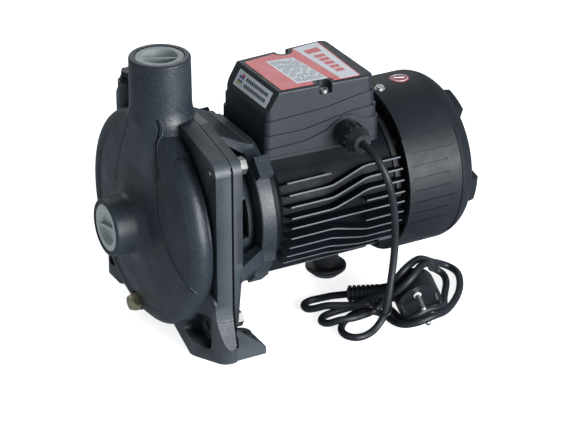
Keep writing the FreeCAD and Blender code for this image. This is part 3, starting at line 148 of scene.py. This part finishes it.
def make_cord():
    """The whole lead: down from the gland, then two small and two large loops in turn, and a short tail."""
    turns = SMALL_LOOP_LOW + LARGE_LOOP_LOW + SMALL_LOOP_HIGH + LARGE_LOOP_HIGH + CORD_TAIL
    points = in_metres(CORD_ROUTE + turns)
    cord = add_curve("mains_cord", points, CORD_R)
    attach(cord, "root")
    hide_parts("power_cord", "cord_hank")
    return cord


tie = make_tie()
cord = make_cord()


# ---- materials ----
class Shader:
    """A material and the few node chains that the finishes share."""

    def __init__(self, name, color, roughness, metallic=0.0, specular=0.5):
        self.material = bpy.data.materials.new(name)
        self.material.use_nodes = True
        self.nodes = self.material.node_tree.nodes
        self.links = self.material.node_tree.links
        self.bsdf = self.nodes["Principled BSDF"]
        self.bsdf.inputs["Base Color"].default_value = (*color, 1.0)
        self.bsdf.inputs["Roughness"].default_value = roughness
        self.bsdf.inputs["Metallic"].default_value = metallic
        self.bsdf.inputs["Specular IOR Level"].default_value = specular
        self.place = self.nodes.new("ShaderNodeTexCoord").outputs["Object"]
        self.normal = None

    def noise(self, scale, detail=3.0, rough=0.5):
        node = self.nodes.new("ShaderNodeTexNoise")
        node.inputs["Scale"].default_value = scale
        node.inputs["Detail"].default_value = detail
        node.inputs["Roughness"].default_value = rough
        self.links.new(self.place, node.inputs["Vector"])
        return node.outputs["Fac"]

    def spread(self, value, low, high, to_low=0.0, to_high=1.0):
        """Maps low..high onto to_low..to_high, and holds it there outside."""
        node = self.nodes.new("ShaderNodeMapRange")
        for key, number in (("From Min", low), ("From Max", high), ("To Min", to_low), ("To Max", to_high)):
            node.inputs[key].default_value = number
        self.links.new(value, node.inputs["Value"])
        return node.outputs["Result"]

    def colours(self, value, first, second):
        """From the first colour to the second as value goes from 0 to 1."""
        node = self.nodes.new("ShaderNodeMix")
        node.data_type = "RGBA"
        node.inputs["A"].default_value = (*first, 1.0)
        node.inputs["B"].default_value = (*second, 1.0)
        self.links.new(value, node.inputs["Factor"])
        return node.outputs["Result"]

    def over(self, value, under, colour):
        """Lays a colour over what is under it, where value is 1."""
        node = self.nodes.new("ShaderNodeMix")
        node.data_type = "RGBA"
        self.links.new(under, node.inputs["A"])
        node.inputs["B"].default_value = (*colour, 1.0)
        self.links.new(value, node.inputs["Factor"])
        return node.outputs["Result"]

    def bump(self, height, distance, strength=1.0):
        """Relief on the surface; a second call adds to the first."""
        node = self.nodes.new("ShaderNodeBump")
        node.inputs["Distance"].default_value = distance
        node.inputs["Strength"].default_value = strength
        self.links.new(height, node.inputs["Height"])
        if self.normal is not None:
            self.links.new(self.normal, node.inputs["Normal"])
        self.normal = node.outputs["Normal"]
        self.links.new(self.normal, self.bsdf.inputs["Normal"])

    def math(self, operation, first, second=None):
        """A Math node over sockets or plain numbers."""
        node = self.nodes.new("ShaderNodeMath")
        node.operation = operation
        for socket, value in zip(node.inputs, (first, second)):
            if isinstance(value, (int, float)):
                socket.default_value = value
            elif value is not None:
                self.links.new(value, socket)
        return node.outputs[0]

    def to(self, key, value):
        self.links.new(value, self.bsdf.inputs[key])


def cast_paint():
    """Satin enamel over a sand casting: coarse grain, slow changes of tone, and a painted highlight that
    makes the edges a little lighter.
    """
    s = Shader("cast_paint", (0.014, 0.018, 0.022), 0.42, specular=0.38)
    base = s.colours(s.spread(s.noise(22.0), 0.35, 0.7), (0.009, 0.013, 0.018), (0.017, 0.023, 0.030))
    # painted highlight: sharp edges of the casting are given a lighter colour
    edge_highlight = s.spread(s.nodes.new("ShaderNodeNewGeometry").outputs["Pointiness"], 0.53, 0.62)
    base = s.over(s.math("MULTIPLY", edge_highlight, 0.5), base, (0.075, 0.083, 0.092))
    speck = s.spread(s.noise(1100.0, 2.0), 0.56, 0.70)
    s.to("Base Color", s.over(s.math("MULTIPLY", speck, 0.5), base, (0.07, 0.078, 0.087)))
    s.to("Roughness", s.spread(s.noise(60.0), 0.3, 0.7, 0.33, 0.48))
    s.bump(s.noise(90.0, 2.0), 0.0006, 0.5)
    s.bump(s.noise(700.0, 3.0, 0.6), 0.0003, 0.9)
    return s.material


def motor_paint():
    """Near-black paint on the ribbed housing, with a painted highlight that makes the fins' tips paler; the
    tips all lie at one radius.
    """
    s = Shader("motor_paint", (0.003, 0.004, 0.006), 0.5, specular=0.12)
    split = s.nodes.new("ShaderNodeSeparateXYZ")
    s.links.new(s.place, split.inputs[0])
    up = s.math("SUBTRACT", split.outputs["Z"], SHAFT_Z)
    across = split.outputs["Y"]
    square = s.math("ADD", s.math("MULTIPLY", up, up), s.math("MULTIPLY", across, across))
    reach = s.math("SQRT", square)
    # painted highlight: a thin paler band on the fins' tips, just round FIN_R
    tip = s.math("MULTIPLY", s.spread(reach, FIN_R - 0.5 * MM, FIN_R - 0.1 * MM),
                 s.spread(reach, FIN_R + 0.2 * MM, FIN_R + 0.5 * MM, 1.0, 0.0))
    base = s.colours(s.spread(s.noise(30.0), 0.35, 0.7), (0.0025, 0.0035, 0.0055), (0.005, 0.0065, 0.009))
    s.to("Base Color", s.over(s.math("MULTIPLY", tip, 0.9), base, (0.115, 0.125, 0.140)))
    s.to("Roughness", s.spread(s.noise(80.0), 0.3, 0.7, 0.44, 0.58))
    s.bump(s.noise(600.0, 2.0), 0.00015, 0.5)
    return s.material


def moulded(name, dark, light, roughness, grain=0.5, specular=0.5):
    """Moulded plastic with a fine spark-eroded grain."""
    s = Shader(name, light, roughness, specular=specular)
    s.to("Base Color", s.colours(s.spread(s.noise(18.0), 0.35, 0.7), dark, light))
    s.to("Roughness", s.spread(s.noise(120.0), 0.3, 0.7, roughness - 0.05, roughness + 0.07))
    s.bump(s.noise(1500.0, 2.0), 0.00012, grain)
    return s.material


def metal(name, dark, light, roughness, brush=0.4):
    """Worked metal: turning marks, small stains and uneven polish."""
    s = Shader(name, light, roughness, metallic=1.0)
    s.to("Base Color", s.colours(s.spread(s.noise(150.0, 4.0), 0.35, 0.65), dark, light))
    s.to("Roughness", s.spread(s.noise(300.0), 0.3, 0.7, roughness - 0.08, roughness + 0.12))
    s.bump(s.noise(900.0, 3.0), 0.00010, brush)
    return s.material


def rubbery(name, dark, light, roughness, specular=0.5, grain=0.35):
    """Rubber, flexible PVC, carbon, or the near-black bead of painted shade: soft sheen, with a faint grain.
    """
    s = Shader(name, light, roughness, specular=specular)
    s.to("Base Color", s.colours(s.spread(s.noise(40.0), 0.35, 0.7), dark, light))
    s.to("Roughness", s.spread(s.noise(200.0), 0.3, 0.7, roughness - 0.06, roughness + 0.08))
    s.bump(s.noise(800.0, 2.0), 0.0001, grain)
    return s.material


finishes = {
    "cast_paint": cast_paint(),
    "motor_paint": motor_paint(),
    "shield_paint": moulded("shield_paint", (0.008, 0.009, 0.011), (0.012, 0.014, 0.016), 0.55),
    "cover_plastic": moulded("cover_plastic", (0.005, 0.007, 0.010), (0.008, 0.010, 0.014), 0.50, 0.5, 0.36),
    "box_plastic": moulded("box_plastic", (0.009, 0.012, 0.017), (0.013, 0.017, 0.023), 0.48, 0.5, 0.42),
    "cap_plastic": moulded("cap_plastic", (0.24, 0.27, 0.27), (0.30, 0.33, 0.33), 0.45, 0.2),
    "brass": metal("brass", (0.40, 0.35, 0.20), (0.60, 0.54, 0.34), 0.50),
    "dark_steel": metal("dark_steel", (0.03, 0.03, 0.035), (0.06, 0.06, 0.07), 0.45),
    "zinc_steel": metal("zinc_steel", (0.10, 0.10, 0.10), (0.22, 0.22, 0.21), 0.50),
    "screw_zinc": metal("screw_zinc", (0.45, 0.45, 0.44), (0.70, 0.70, 0.68), 0.42),
    "bright_steel": metal("bright_steel", (0.40, 0.40, 0.40), (0.62, 0.62, 0.62), 0.25),
    "lamination": metal("lamination", (0.20, 0.20, 0.21), (0.36, 0.36, 0.38), 0.5),
    "copper": metal("copper", (0.40, 0.16, 0.07), (0.62, 0.28, 0.13), 0.4),
    "cast_aluminium": metal("cast_aluminium", (0.50, 0.51, 0.52), (0.72, 0.73, 0.74), 0.45),
    "black_rubber": rubbery("black_rubber", (0.006, 0.006, 0.008), (0.012, 0.012, 0.015), 0.5),
    "gasket": rubbery("gasket", (0.008, 0.008, 0.009), (0.015, 0.015, 0.017), 0.7),
    # near-black finish for beads of painted shade, in the casting's front valley and at its flange joint
    "shade_bead": rubbery("shade_bead", (0.0015, 0.0015, 0.002), (0.004, 0.004, 0.005), 0.8, 0.05),
    "seal_face": moulded("seal_face", (0.62, 0.60, 0.55), (0.74, 0.72, 0.67), 0.3, 0.1),
    "carbon": rubbery("carbon", (0.02, 0.02, 0.022), (0.04, 0.04, 0.045), 0.45),
    "fan_plastic": moulded("fan_plastic", (0.014, 0.014, 0.016), (0.024, 0.024, 0.027), 0.5),
    "cord_jacket": rubbery("cord_jacket", (0.005, 0.006, 0.009), (0.010, 0.011, 0.015), 0.48, 0.4, 0.15),
    "plug_plastic": moulded("plug_plastic", (0.004, 0.005, 0.007), (0.008, 0.009, 0.012), 0.42),
    "nickel": metal("nickel", (0.50, 0.49, 0.46), (0.74, 0.73, 0.70), 0.30),
    "gland_plastic": moulded("gland_plastic", (0.006, 0.007, 0.009), (0.011, 0.012, 0.015), 0.36),
    "label_print": moulded("label_print", (0.66, 0.105, 0.115), (0.74, 0.15, 0.155), 0.35, 0.1),
    "deep_red": moulded("deep_red", (0.26, 0.008, 0.020), (0.34, 0.014, 0.030), 0.3, 0.1),
    "white_print": moulded("white_print", (0.66, 0.68, 0.70), (0.76, 0.78, 0.80), 0.35, 0.1),
    "capacitor_case": moulded("capacitor_case", (0.70, 0.70, 0.68), (0.80, 0.80, 0.78), 0.3, 0.2),
    "terminal_plastic": moulded("terminal_plastic", (0.45, 0.43, 0.38), (0.56, 0.54, 0.48), 0.5, 0.3),
}
inks = {
    "grey_ink": moulded("grey_ink", (0.20, 0.22, 0.24), (0.34, 0.36, 0.38), 0.4, 0.1),
    "red_ink": moulded("red_ink", (0.62, 0.10, 0.12), (0.72, 0.15, 0.16), 0.4, 0.1),
    "blue_ink": moulded("blue_ink", (0.05, 0.10, 0.22), (0.08, 0.15, 0.30), 0.4, 0.1),
    "yellow_ink": moulded("yellow_ink", (0.50, 0.46, 0.12), (0.60, 0.56, 0.18), 0.4, 0.1),
    "black_ink": moulded("black_ink", (0.015, 0.016, 0.018), (0.03, 0.03, 0.033), 0.4, 0.1),
}

# nodes whose finish differs from the rest of their slot
OWN_FINISH = {
    "terminal_box_screws": "screw_zinc", "fan_cover_screws": "screw_zinc", "round_sticker": "deep_red",
}
for part in frame["record"]["subparts"]:
    node = NODES[part["node"]]
    node.data.materials.clear()
    node.data.materials.append(finishes[OWN_FINISH.get(part["node"], part["material_slot"])])
cord.data.materials.append(finishes["cord_jacket"])
tie.data.materials.append(finishes["gland_plastic"])


def place(piece, material):
    """Finishes a new piece that stands still with the casting."""
    piece.data.materials.append(material)
    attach(piece, "root")


def surface_of(node):
    """The node's surface in the frame's axes, ready for rays."""
    mesh, world = NODES[node].data, NODES[node].matrix_world
    vertices = [world @ vertex.co for vertex in mesh.vertices]
    return BVHTree.FromPolygons(vertices, [tuple(polygon.vertices) for polygon in mesh.polygons])


# ---- print on the labels: corners in mm, just on each label's face ----
LABEL_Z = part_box("cover_label")[1].z / MM
DATA_PANEL = [(x, y, LABEL_Z) for x, y in ((79.4, -34.0), (107.9, -36.4), (102.9, 16.0), (77.9, 19.2))]
REAR_STRIP = [(x, y, LABEL_Z) for x, y in ((117.0, -42.0), (134.2, -43.1), (136.9, 35.6), (112.0, 32.8))]
SLOPE = [(48.85, 23.4, 193.8), (48.85, -33.8, 193.8), (55.8, -33.8, 205.35), (55.8, 23.4, 205.35)]
WHOLE = [(0.0, 1.0, 0.0, 1.0)]
SHEET, INK = 0.10, 0.16      # heights in mm of what lies on the label itself, and of print on top of that


def print_patches(name, outline, bars, height, ink):
    """Thin raised patches over a quadrilateral, each bar (u0, u1, v0, v1) in fractions of its sides."""
    a, b, c, d = (Vector(p) * MM for p in outline)
    rise = (b - a).cross(d - a).normalized() * height * MM

    def at(u, v):
        return a.lerp(b, u).lerp(d.lerp(c, u), v)

    vertices, faces = [], []
    for u0, u1, v0, v1 in bars:
        base = len(vertices)
        foot = [at(u0, v0), at(u1, v0), at(u1, v1), at(u0, v1)]
        vertices += foot + [p + rise for p in foot]
        faces += [tuple(base + 4 + i for i in range(4)), tuple(base + 3 - i for i in range(4))]
        faces += [(base + i, base + (i + 1) % 4, base + 4 + (i + 1) % 4, base + 4 + i) for i in range(4)]
    mesh = bpy.data.meshes.new(name)
    mesh.from_pydata(vertices, [], faces)
    patch = bpy.data.objects.new(name, mesh)
    bpy.context.scene.collection.objects.link(patch)
    place(patch, ink)


def dashes(rows, seed):
    """Rows of short dashes of uneven length, which stand for lines of small print."""
    first, last, top, depth = 0.05, 0.95, 0.06, 0.9
    room, shortest, extra, gap, more_gap, fill = 0.06, 0.07, 0.12, 0.03, 0.02, 0.45
    bars = []
    for row in range(rows):
        v0 = top + depth * row / rows
        u = first
        while u < last - room:
            seed = (seed * 29 + 17) % 97      # the same uneven sequence on every run
            end = min(u + shortest + extra * seed / 97.0, last)
            bars.append((u, end, v0, v0 + fill * depth / rows))
            u = end + gap + more_gap * (seed % 3)
    return bars


def turned(outline):
    """The same corners from the second one on, so that rows of print run along the pump's width."""
    return outline[1:] + outline[:1]


def print_labels():
    white = finishes["white_print"]
    print_patches("data_panel", DATA_PANEL, WHOLE, SHEET, white)
    small_print = dashes(9, 5)
    print_patches("data_panel_print", turned(DATA_PANEL), small_print, INK, inks["grey_ink"])
    print_patches("rear_strip", REAR_STRIP, WHOLE, SHEET, white)
    blocks = [(0.62 - 0.11 * i, 0.70 - 0.11 * i, 0.28, 0.72) for i in range(5)] + [(0.76, 0.88, 0.2, 0.8)]
    print_patches("rear_strip_print", turned(REAR_STRIP), blocks, INK, inks["red_ink"])
    starts = [0.27 + 0.056 * i for i in range(12)]
    words = [(u, u + 0.038, v, v + 0.22) for u in starts for v in (0.18, 0.60)]
    blue = [(0.06, 0.20, 0.56, 0.72), (0.06, 0.20, 0.32, 0.46)]
    for name, bars, ink in (("sticker_print", words, "black_ink"), ("sticker_blue", blue, "blue_ink"),
                            ("sticker_red", [(0.12, 0.20, 0.72, 0.88)], "red_ink"),
                            ("sticker_yellow", [(0.06, 0.20, 0.16, 0.32)], "yellow_ink")):
        print_patches(name, SLOPE, bars, SHEET, inks[ink])


def make_collar():
    """Pale ring round the root of the plug's upper pin, drawn in the plane square to the pin."""
    root, tip = Vector((151.5, -118.6, 28.2)), Vector((147.7, -136.5, 23.3))
    ring_r, wire_r, proud, count = 3.0, 0.45, 0.2, 16
    along = (tip - root).normalized()
    side = along.orthogonal().normalized()
    up = along.cross(side)
    turns = [math.tau * i / count for i in range(count)]
    points = [root + along * proud + (side * math.cos(t) + up * math.sin(t)) * ring_r for t in turns]
    collar = add_curve("pin_collar", in_metres(points), wire_r * MM, resolution=4, closed=True)
    place(collar, finishes["white_print"])


def print_round_sticker():
    """Pale ring and bar on the round sticker, laid on the curve of the fan cover."""
    low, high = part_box("round_sticker")
    middle = 0.5 * (low + high)
    skin = surface_of("round_sticker")
    ring_r, steps, lift, above = 7.4 * MM, 40, 0.05 * MM, 0.3

    def on_skin(x, y):
        hit = skin.ray_cast(Vector((x, y, above)), Vector((0.0, 0.0, -1.0)))[0]
        return None if hit is None else tuple(hit + Vector((0.0, 0.0, lift)))

    angles = [math.tau * i / steps for i in range(steps + 1)]
    ring = [on_skin(middle.x + ring_r * math.cos(t), middle.y + ring_r * math.sin(t)) for t in angles]
    bar = [on_skin(middle.x + 0.6 * MM * i, middle.y - 0.3 * MM * i) for i in range(-7, 8)]
    for name, line, radius in (("sticker_ring", ring, 0.3), ("sticker_bar", bar, 0.7)):
        piece = add_curve(name, [p for p in line if p is not None], radius * MM, resolution=3)
        place(piece, finishes["white_print"])


print_labels()
make_collar()
print_round_sticker()

# ---- lines left by the mould on the casting, with painted shade in its front valley and at its flange joint; (y, z) or (x, z) in mm ----
FRONT_LINE = [
    (-22.7, 198), (-29.3, 184), (-37.5, 170), (-41.5, 154), (-45.5, 133), (-52, 110), (-58.5, 99.5),
    (-66.5, 89), (-76, 80), (-85.5, 72.5), (-88, 68),
]
FAR_LINE = [(0.5, 205), (11, 185), (21.5, 165), (31, 145), (36, 121)]
NECK_LINE = [(-34, 210), (-29, 206), (-24, 201.5), (-16, 194)]
RIDGE_GAP = 1.3              # from the front valley to the ridge along it
RAY_X, RAY_Y = -120.0, -80.0     # where rays start, clear of the casting
casting = surface_of("pump_body")


def front(pairs):
    """Points well in front of the casting, to be sent along X onto it."""
    return [(RAY_X, y, z) for y, z in pairs]


def seam(name, points, radius, heading, ink, lift=0.0):
    """A fine raised line laid on the casting where points, sent along heading, meet it."""
    steps = 6
    heading = Vector(heading)
    track = []
    for a, b in zip(points[:-1], points[1:]):
        track += [Vector(a).lerp(Vector(b), i / steps) for i in range(steps)]
    track.append(Vector(points[-1]))
    hits = [casting.ray_cast(p * MM, heading)[0] for p in track]
    line = [tuple(hit - heading * lift * MM) for hit in hits if hit is not None]
    place(add_curve(name, line, radius * MM, resolution=4), ink)


def joint_lines():
    """A near-black bead along the flange joint, on both sides: painted shade in the gap between the flanges.
    """
    low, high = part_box("casing_gasket")
    steps, start, share = 80, 0.01, 0.95
    bead_r, tuck_in, tuck_back, outside = 1.1, 0.4, 0.3, 0.2
    for name, side in (("joint_shade_near", -1.0), ("joint_shade_far", 1.0)):
        line = []
        for i in range(steps + 1):
            z = low.z + (high.z - low.z) * (start + share * i / steps)
            origin = Vector((low.x - 1.0 * MM, side * outside, z))
            hit = casting.ray_cast(origin, Vector((0.0, -side, 0.0)))[0]
            if hit is not None:
                line.append((low.x + tuck_back * MM, hit.y - side * tuck_in * MM, z))
        place(add_curve(name, line, bead_r * MM, resolution=3), finishes["shade_bead"])


# painted shade: a near-black line sunk into the valley of the front mould line
seam("front_valley_shade", front(FRONT_LINE), 0.65, ALONG_X, finishes["shade_bead"], lift=-0.2)
RIDGE_LINE = [(y - RIDGE_GAP, z) for y, z in FRONT_LINE]
seam("front_ridge", front(RIDGE_LINE), 0.7, ALONG_X, finishes["cast_paint"])
seam("far_ridge", front(FAR_LINE), 0.35, ALONG_X, finishes["cast_paint"])
joint_lines()
seam("neck_ridge", [(x, RAY_Y, z) for x, z in NECK_LINE], 0.35, ALONG_Y, finishes["cast_paint"])


# ---- stage and light ----
def area_light(name, spot, target, size, power, tint=(1.0, 1.0, 1.0)):
    """A rectangular lamp at spot that faces target."""
    data = bpy.data.lights.new(name, "AREA")
    data.shape = "RECTANGLE"
    data.size, data.size_y = size
    data.energy = power
    data.color = tint
    lamp = bpy.data.objects.new(name, data)
    lamp.location = spot
    lamp.rotation_mode = "QUATERNION"
    lamp.rotation_quaternion = (Vector(target) - Vector(spot)).to_track_quat("-Z", "Y")
    bpy.context.scene.collection.objects.link(lamp)


def make_stage():
    """A white sheet that glows a little, so that it stays white, and a dim sky over it."""
    half = 12.0
    corners = [(-half, -half, 0), (half, -half, 0), (half, half, 0), (-half, half, 0)]
    mesh = bpy.data.meshes.new("floor")
    mesh.from_pydata(corners, [], [(0, 1, 2, 3)])
    floor = bpy.data.objects.new("floor", mesh)
    bpy.context.scene.collection.objects.link(floor)
    s = Shader("floor_paper", (0.90, 0.90, 0.90), 0.8)
    s.bsdf.inputs["Emission Color"].default_value = (1.0, 1.0, 1.0, 1.0)
    s.bsdf.inputs["Emission Strength"].default_value = 0.80
    s.bump(s.noise(300.0), 0.0002, 0.1)
    mesh.materials.append(s.material)
    floor.visible_glossy = False
    world = bpy.data.worlds.new("studio")
    world.use_nodes = True
    sky = world.node_tree.nodes["Background"]
    sky.inputs["Color"].default_value = (0.78, 0.90, 1.0, 1.0)
    sky.inputs["Strength"].default_value = 0.34
    bpy.context.scene.world = world
    middle = (0.08, 0.0, 0.10)
    area_light("key", (0.55, -1.65, 0.45), middle, (0.9, 0.9), 60.0, (0.94, 0.97, 1.0))
    area_light("side", (-1.6, -0.3, 0.8), middle, (0.7, 1.2), 0.8)
    area_light("back", (0.3, 1.6, 1.2), middle, (1.6, 0.8), 9.0)
    bpy.context.scene.view_settings.view_transform = "Standard"


make_stage()
